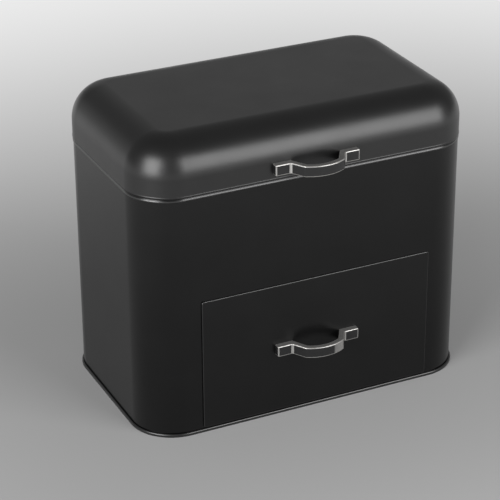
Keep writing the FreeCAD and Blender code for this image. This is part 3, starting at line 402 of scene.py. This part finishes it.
# ---------------------------------------------------------------- lid handle
# A cast bow pull: two flat feet on the skirt, legs that step out, and a shallow bow between them. The casting
# is black and worn bright along its edges. The bright metal in the creases at the feet is a painted
# highlight. The little bare metal on the top and bottom faces is partly wear and partly a painted sheen. Two
# screws from inside hold it, over plain washers.

PULL_END = 37.3                   # half the length, and half the height of the bar on edge
PULL_HALF = 4.65
PULL_BAR = 4.8                    # thickness of the bow and the legs
FOOT_FACE = 5.4                   # the feet stand out this far
FOOT_INNER = 24.2                 # where a foot ends and its leg starts
KNEE = (17.6, 16.4)               # where the leg meets the bow
BOW_REACH = 21.39                 # the bow's middle stands out this far
KNEE_ROUND = 3.2
INNER_KNEE_ROUND = 1.2
CREASE_ROUND = 1.9
CREASE_MARGIN = 0.3
EDGE_ROUND = 0.75
END_ROUND = 0.9
RUB = 0.12                        # the wear runs this far on to the flats beside a round
NEAR = 0.01                       # slack when a point is looked up
KNEE_ANGLES = (0.024, 0.012)      # radians of the bow left out beside its rounds, outside and inside
BOW_STEPS = (14, 12)
SIDE_WEAR_AND_SHEEN = 0.22                  # share of bare metal: 1 along all edges, and in the creases as a painted highlight; less elsewhere, with faint wear and a painted sheen on the top and bottom faces
END_WEAR = 0.75
# share of bare metal over a span of the drawer pull's bow, and how far below the bow's face it starts: a
# painted highlight
BOW_HIGHLIGHT_SHARE = (0.3, 0.65)
BOW_HIGHLIGHT_MARGIN = 0.5
WEAR_WAVES = 420
BARE_METAL_COLOUR = (0.6, 0.59, 0.57, 1)
BARE_METAL_ROUGH = 0.4


def eased(before, corner, after, radius, steps=6):
    """Round one corner of an outline."""
    corner = Vector(corner)
    back = (Vector(before) - corner).normalized()
    on = (Vector(after) - corner).normalized()
    half = back.angle(on) / 2
    reach = radius / math.tan(half)
    centre = corner + (back + on).normalized() * (radius / math.sin(half))
    start = corner + back * reach - centre
    end = corner + on * reach - centre
    first = math.atan2(start.y, start.x)
    swing = (math.atan2(end.y, end.x) - first + math.pi) % (2 * math.pi) - math.pi
    angles = [first + swing * step / steps for step in range(steps + 1)]
    return [(centre.x + radius * math.cos(a), centre.y + radius * math.sin(a)) for a in angles]


def half_bow():
    """Right half of the handle from above, x to the right and y out from the seat, and its crease's span."""
    # The bow is an arc through both knees, and its back is the same arc one bar further in.
    rise = BOW_REACH - KNEE[1]
    radius = (KNEE[0] ** 2 + rise ** 2) / (2 * rise)
    middle = BOW_REACH - radius
    # The leg runs straight from the foot to the knee, and its back meets the bow's back at the inner knee.
    foot = (FOOT_INNER, FOOT_FACE)
    run = (Vector(KNEE) - Vector(foot)).normalized()
    inward = Vector((-run.y, run.x)) * PULL_BAR
    seat_end = Vector(foot) + inward
    seat_end -= run * (seat_end.y / run.y)
    inner = Vector(KNEE) + inward - Vector((0, middle))
    along = inner.dot(run)
    inner_radius = radius - PULL_BAR
    back = -along + math.sqrt(along ** 2 - inner.length_squared + inner_radius ** 2)
    inner_knee = inner + run * back + Vector((0, middle))

    knee_angle = math.atan2(KNEE[1] - middle, KNEE[0])
    sweep = knee_angle + KNEE_ANGLES[0] - math.pi / 2
    angles = [math.pi / 2 + sweep * step / BOW_STEPS[0] for step in range(BOW_STEPS[0])]
    outer = [(radius * math.cos(a), middle + radius * math.sin(a)) for a in angles]
    tangent = Vector(KNEE) + Vector((-math.sin(knee_angle), math.cos(knee_angle)))
    outer += eased(tangent, KNEE, foot, KNEE_ROUND)
    crease = eased(KNEE, foot, (PULL_END, FOOT_FACE), CREASE_ROUND)
    outer += [tuple(Vector(crease[0]) + run * CREASE_MARGIN), *crease]
    outer += [(crease[-1][0] + CREASE_MARGIN, FOOT_FACE), (PULL_END - END_ROUND - RUB, FOOT_FACE)]
    outer += eased(foot, (PULL_END, FOOT_FACE), (PULL_END, 0), END_ROUND, 5)
    outer += [(PULL_END, FOOT_FACE - END_ROUND - RUB), (PULL_END, 0.0)]

    inner_angle = math.atan2(inner_knee.y - middle, inner_knee.x)
    inner_tangent = inner_knee + Vector((-math.sin(inner_angle), math.cos(inner_angle)))
    inside = [tuple(seat_end)]
    inside += eased(seat_end, inner_knee, inner_tangent, INNER_KNEE_ROUND, 5)
    first = inner_angle + KNEE_ANGLES[1]
    angles = [first + (math.pi / 2 - first) * step / BOW_STEPS[1] for step in range(1, BOW_STEPS[1] + 1)]
    inside += [(inner_radius * math.cos(a), middle + inner_radius * math.sin(a)) for a in angles]
    return outer, inside, (crease[0][0] - NEAR, crease[-1][0] + NEAR)


def shrunk(points, inset):
    """The outline moved inward, apart from what lies on the seat."""
    moved = []
    for place, point in enumerate(points):
        here = Vector(point)
        one = (here - Vector(points[place - 1])).normalized()
        other = (Vector(points[(place + 1) % len(points)]) - here).normalized()
        normal = Vector((one.y, -one.x))
        middle = (normal + Vector((other.y, -other.x))).normalized()
        moved_to = here - middle * inset / max(middle.dot(normal), 0.5)
        moved.append((moved_to.x, 0.0) if point[1] < 1e-6 else tuple(moved_to))
    return moved


def bow_pull(name, seat, material, body, stands_for, painted_highlight_span=None):
    """A handle with the middle of its seat at x, y, z. Over a span of x, bare metal on the bow's face is a
    painted highlight.
    """
    outer, inside, crease = half_bow()
    turn = [(-x, y) for x, y in reversed(outer[1:])] + outer + inside[:-1] + [(0, inside[-1][1])]
    turn += [(-x, y) for x, y in reversed(inside[:-1])]
    turn.reverse()
    section = [(EDGE_ROUND + RUB, -PULL_HALF)]
    section += bend((EDGE_ROUND, EDGE_ROUND - PULL_HALF), EDGE_ROUND, 270, 180)
    section += [(0, EDGE_ROUND + RUB - PULL_HALF)]
    section += [(inset, -height) for inset, height in reversed(section)]
    bm = bmesh.new()
    wear_and_painted_highlight = bm.verts.layers.float.new("wear_and_painted_highlight")
    rows = loft(bm, [[(seat[0] + x, seat[1] - y, seat[2] + height) for x, y in shrunk(turn, inset)]
                     for inset, height in section], True, True)
    face_ring = len(rows) // 2 - 1
    for number, row in enumerate(rows):
        ring = min(number, len(rows) - 1 - number)
        for vert, (x, y) in zip(row, turn):
            # The crease at each foot gets full bare metal as a painted highlight.
            at_crease_highlight = crease[0] < abs(x) < crease[1] and y > FOOT_FACE - NEAR
            at_end = abs(x) > PULL_END - END_ROUND - NEAR and y > FOOT_FACE - END_ROUND - NEAR
            # The top and bottom faces get a little bare metal: faint wear, and a painted sheen that lightens
            # the top face.
            if ring == 0:
                vert[wear_and_painted_highlight] = SIDE_WEAR_AND_SHEEN
            elif ring < face_ring or at_crease_highlight:
                vert[wear_and_painted_highlight] = 1.0
            elif at_end:
                vert[wear_and_painted_highlight] = END_WEAR
            # Over the span, the bow's face gets bare metal as a painted highlight.
            elif painted_highlight_span and painted_highlight_span[0] < x < painted_highlight_span[1] and y > KNEE[1] - BOW_HIGHLIGHT_MARGIN:
                along = (x - painted_highlight_span[0]) / (painted_highlight_span[1] - painted_highlight_span[0])
                vert[wear_and_painted_highlight] = BOW_HIGHLIGHT_SHARE[0] + (BOW_HIGHLIGHT_SHARE[1] - BOW_HIGHLIGHT_SHARE[0]) * along
    made(name, bm, [material], body, [stands_for])


def casting_with_bare_metal(name):
    """Smooth black enamel on a casting, bright metal where the mesh says so: worn edges, and painted
    highlights and sheen.
    """
    material = sprayed_black(name, tone=0.011, rough=0.27, spread=0.03, peel=0.04, gloss=0.5)
    tree = material.node_tree
    shader = tree.nodes["Principled BSDF"]
    spot = knot(tree, "TexCoord").outputs["Object"]
    patch = knot(tree, "TexNoise", Vector=spot, Scale=WEAR_WAVES, Detail=3.0).outputs["Fac"]
    wear_and_highlight = knot(tree, "Attribute")
    wear_and_highlight.attribute_name = "wear_and_painted_highlight"
    bright = reckon(tree, "MULTIPLY", wear_and_highlight.outputs["Fac"], between(tree, patch, 0.3, 0.6, 0.75, 1.0))
    painted_colour = shader.inputs["Base Color"].links[0].from_socket
    painted_rough = shader.inputs["Roughness"].links[0].from_socket
    feed(tree, shader.inputs["Metallic"], bright)
    feed(tree, shader.inputs["Base Color"], blend(tree, bright, painted_colour, BARE_METAL_COLOUR))
    feed(tree, shader.inputs["Roughness"], blend(tree, bright, painted_rough, BARE_METAL_ROUGH, "FLOAT"))
    return material


casting_black = casting_with_bare_metal("casting_black")
bow_pull("lid_pull", (0.0, -89.8, 224.6), casting_black, "lid", "lid_handle")
finished(["lid_handle_screws", "lid_handle_washers"], nickel)

# ---------------------------------------------------------------- drawer tray
# A folded and welded tray of 0.7 mm steel, open on top, in the duller black. Its upper edge is doubled inward
# 5 mm deep, and the rear wall ends 2.4 mm higher in a plain lip that meets the stops.

DRAWER_SHIFT = 3.6                # the drawer's middle lies this far right of the box's middle
TRAY_SIDE = 98.1
TRAY_FRONT = -87.7
TRAY_BACK = 76.0
TRAY_CORNER = 2.0
TRAY_LOW = 7.7
TRAY_HIGH = 112.0
TRAY_BEND = 1.2
HEM_DEEP = 5.0
HEM_BREAK = 0.2                   # the doubled edge's raw end: its corner, and the seam behind it
HEM_SEAM = (0.05, 0.1)
LIP_HIGH = 114.4
LIP_LAP = 1.5

tray_half = (TRAY_SIDE, (TRAY_BACK - TRAY_FRONT) / 2)
tray_middle = (TRAY_FRONT + TRAY_BACK) / 2
tray_bend = (-TRAY_BEND, TRAY_LOW + TRAY_BEND)
hem_end = TRAY_HIGH - HEM_DEEP
tray_section = [(-TRAY_BEND - HAIR, TRAY_LOW)]
tray_section += bend(tray_bend, TRAY_BEND, -90, 0)
tray_section += bend((-SHEET, TRAY_HIGH - SHEET), SHEET, 0, 180, 10)
tray_section += [(-2 * SHEET, hem_end + HEM_BREAK), (-2 * SHEET + HEM_BREAK, hem_end)]
tray_section += [(-SHEET - HEM_SEAM[0], hem_end), (-SHEET, hem_end - HEM_SEAM[1])]
tray_section += bend(tray_bend, TRAY_BEND - SHEET, 0, -90, 4)
tray_turns = [turn_round(tray_half, TRAY_CORNER, out, z, 6) for out, z in tray_section]
bm = bmesh.new()
loft(bm, [[(DRAWER_SHIFT + x, tray_middle + y, z) for x, y, z in turn] for turn in tray_turns], True, True)
made("tray", bm, [inside_black], "drawer", ["drawer_tray"])

lip_turn = [(TRAY_BACK - SHEET, TRAY_HIGH - LIP_LAP), (TRAY_BACK, TRAY_HIGH - LIP_LAP)]
lip_turn += bend((TRAY_BACK - SHEET / 2, LIP_HIGH - SHEET / 2), SHEET / 2, 0, 180)
lip_end = TRAY_SIDE - TRAY_CORNER
bm = bmesh.new()
loft(bm, [[(DRAWER_SHIFT + x, y, z) for y, z in lip_turn] for x in (-lip_end, lip_end)], True, True)
made("tray_lip", bm, [inside_black], "drawer", None)

# ---------------------------------------------------------------- drawer front
# A flat panel of 0.7 mm steel with its edge turned back all round, spot welded to the tray. It laps over the
# cut-out and stands 1.5 mm proud of the wall.

FRONT_HALF = (104.1, 58.1)
FRONT_CORNER = 2.0
FRONT_MIDDLE = 62.3
FRONT_FACE = -89.9
FRONT_BACK = -88.7
FRONT_ROUND = 0.55
FRONT_BREAK = (0.15, 0.1)         # the raw edge's corners, outside and inside

front_black = sprayed_black("front_black", tone=0.0014, rough=0.33, spread=0.03, peel=0.05, gloss=0.39)

front_section = [(-FRONT_ROUND - HAIR, FRONT_FACE)]
front_section += bend((-FRONT_ROUND, FRONT_FACE + FRONT_ROUND), FRONT_ROUND, -90, 0)
front_section += [(0, FRONT_BACK - FRONT_BREAK[0]), (-FRONT_BREAK[0], FRONT_BACK)]
front_section += [(-SHEET + FRONT_BREAK[1], FRONT_BACK), (-SHEET, FRONT_BACK - FRONT_BREAK[1])]
front_section += [(-SHEET, FRONT_FACE + SHEET)]
front_turns = [turn_round(FRONT_HALF, FRONT_CORNER, out, y, 6) for out, y in front_section]
bm = bmesh.new()
loft(bm, [[(DRAWER_SHIFT + x, y, FRONT_MIDDLE + z) for x, z, y in turn] for turn in front_turns], True, True)
for face in bm.faces:
    face.material_index = 1 if len(face.verts) == 4 else 0
made("front_panel", bm, [front_black, edge_black], "drawer", ["drawer_front"])

# ---------------------------------------------------------------- drawer handle
# The same casting as on the lid, 1.6 mm left of the panel's middle, screwed on through panel and tray. Bare
# metal on the right half of its bow is a painted highlight.

bow_pull("drawer_pull", (2.0, -89.9, 61.9), casting_black, "drawer", "drawer_handle", painted_highlight_span=(7.0, 17.0))
finished(["drawer_handle_screws", "drawer_handle_washers"], nickel)

# ---------------------------------------------------------------- floor, light and camera
# A floor without an edge in an even grey room. It is darker round the box's footprint, a broad painted shade
# that grows pale with distance. Two large soft boxes stand ahead at the right and the left; a weak card and a
# small box fill in from behind.

FLOOR_REACH = 40.0                # in metres, like all that follows
FOOTPRINT = (0.15, 0.09, 0)
FLOOR_FAR = 1.05                  # distance from the footprint at which the floor is palest
GLOW = (0.06, 0.86)               # what the floor gives off by itself, near and far: low near the box as painted shade
LIT = (0.34, 0.0)                 # its colour under the lamps, near and far
FLOOR_BOUNCE = (0.5, 0.5, 0.5, 1)
ROOM_LEVEL = 0.24
BOX_MIDDLE = Vector((0, 0, 0.13))

scene = bpy.context.scene
scene.view_settings.view_transform = "Standard"
mesh = bpy.data.meshes.new("floor")
corners = [(x * FLOOR_REACH, y * FLOOR_REACH, 0) for x, y in ((-1, -1), (1, -1), (1, 1), (-1, 1))]
mesh.from_pydata(corners, [], [(0, 1, 2, 3)])
floor = bpy.data.objects.new("floor", mesh)
scene.collection.objects.link(floor)

pale = bpy.data.materials.new("floor_painted_shade")
pale.use_nodes = True
tree = pale.node_tree
tree.nodes.clear()
ground = knot(tree, "NewGeometry").outputs["Position"]
for way, by in (("ABSOLUTE", None), ("SUBTRACT", FOOTPRINT), ("MAXIMUM", (0, 0, 0)), ("LENGTH", None)):
    step = knot(tree, "VectorMath", Vector=ground)
    step.operation = way
    if by:
        step.inputs[1].default_value = by
    ground = step.outputs["Value" if way == "LENGTH" else "Vector"]
# Glow and colour both fade with distance from the footprint, which paints a shade round the box.
levels = []
for near, far in (GLOW, LIT):
    fade = between(tree, ground, 0.0, FLOOR_FAR, near, far)
    fade.node.interpolation_type = "SMOOTHSTEP"
    levels.append(fade)
seen = knot(tree, "AddShader")
feed(tree, seen.inputs[0], knot(tree, "Emission", Strength=levels[0]).outputs["Emission"])
feed(tree, seen.inputs[1], knot(tree, "BsdfDiffuse", Color=levels[1]).outputs["BSDF"])
path = knot(tree, "LightPath")
looked_at = path.outputs["Is Camera Ray"]
for ray in ("Is Glossy Ray", "Is Transmission Ray"):
    looked_at = reckon(tree, "ADD", looked_at, path.outputs[ray])
    looked_at.node.use_clamp = True
mix = knot(tree, "MixShader", Fac=looked_at)
feed(tree, mix.inputs[1], knot(tree, "BsdfDiffuse", Color=FLOOR_BOUNCE).outputs["BSDF"])
feed(tree, mix.inputs[2], seen.outputs["Shader"])
knot(tree, "OutputMaterial", Surface=mix.outputs["Shader"])
mesh.materials.append(pale)

room = bpy.data.worlds.new("room")
scene.world = room
room.use_nodes = True
grey = room.node_tree.nodes["Background"]
grey.inputs["Strength"].default_value = ROOM_LEVEL
grey.inputs["Color"].default_value = (1, 1, 1, 1)


def out_along(azimuth, height):
    """Direction out from the part: azimuth 0 is its front, and both angles are in degrees."""
    a = math.radians(azimuth)
    e = math.radians(height)
    return Vector((math.sin(a) * math.cos(e), -math.cos(a) * math.cos(e), math.sin(e)))


def softbox(name, azimuth, height, away, width, tall, radiance):
    """A plain lamp in a box of cloth, turned to the middle of the part."""
    out = out_along(azimuth, height)
    light = bpy.data.lights.new(name, "AREA")
    light.shape = "RECTANGLE"
    light.size = width
    light.size_y = tall
    light.energy = radiance * math.pi * width * tall
    lamp = bpy.data.objects.new(name, light)
    lamp.location = BOX_MIDDLE + out * away
    lamp.rotation_mode = "QUATERNION"
    lamp.rotation_quaternion = out.to_track_quat("Z", "Y")
    scene.collection.objects.link(lamp)


softbox("right_box", azimuth=28.5, height=21, away=2.4, width=1.55, tall=1.5, radiance=5.2)
softbox("left_box", azimuth=-62, height=19, away=2.4, width=1.47, tall=1.84, radiance=6.8)
softbox("back_card", azimuth=155, height=18, away=3.0, width=2.4, tall=1.2, radiance=0.18)
softbox("left_back_box", azimuth=-150, height=9, away=2.4, width=0.8, tall=0.8, radiance=0.27)

CAMERA_AT = (-25.414, 26.413)     # azimuth and height in degrees
CAMERA_AWAY = 1.728
CAMERA_ROLL = -0.384
CAMERA_AIM = Vector((-0.002752, 0.026076, 0.094342))
CAMERA_LENS = 143.378424          # millimetres, on a frame 36 mm wide

lens = bpy.data.cameras.new("camera")
lens.lens = CAMERA_LENS
lens.sensor_width = 36
lens.clip_start = 0.05
lens.clip_end = 100
camera = bpy.data.objects.new("camera", lens)
scene.collection.objects.link(camera)
scene.camera = camera
back = out_along(*CAMERA_AT)
turned = (-back).to_track_quat("-Z", "Y").to_matrix().to_4x4()
rolled_by = Matrix.Rotation(math.radians(CAMERA_ROLL), 4, "Z")
camera.matrix_world = Matrix.Translation(CAMERA_AIM + back * CAMERA_AWAY) @ turned @ rolled_by
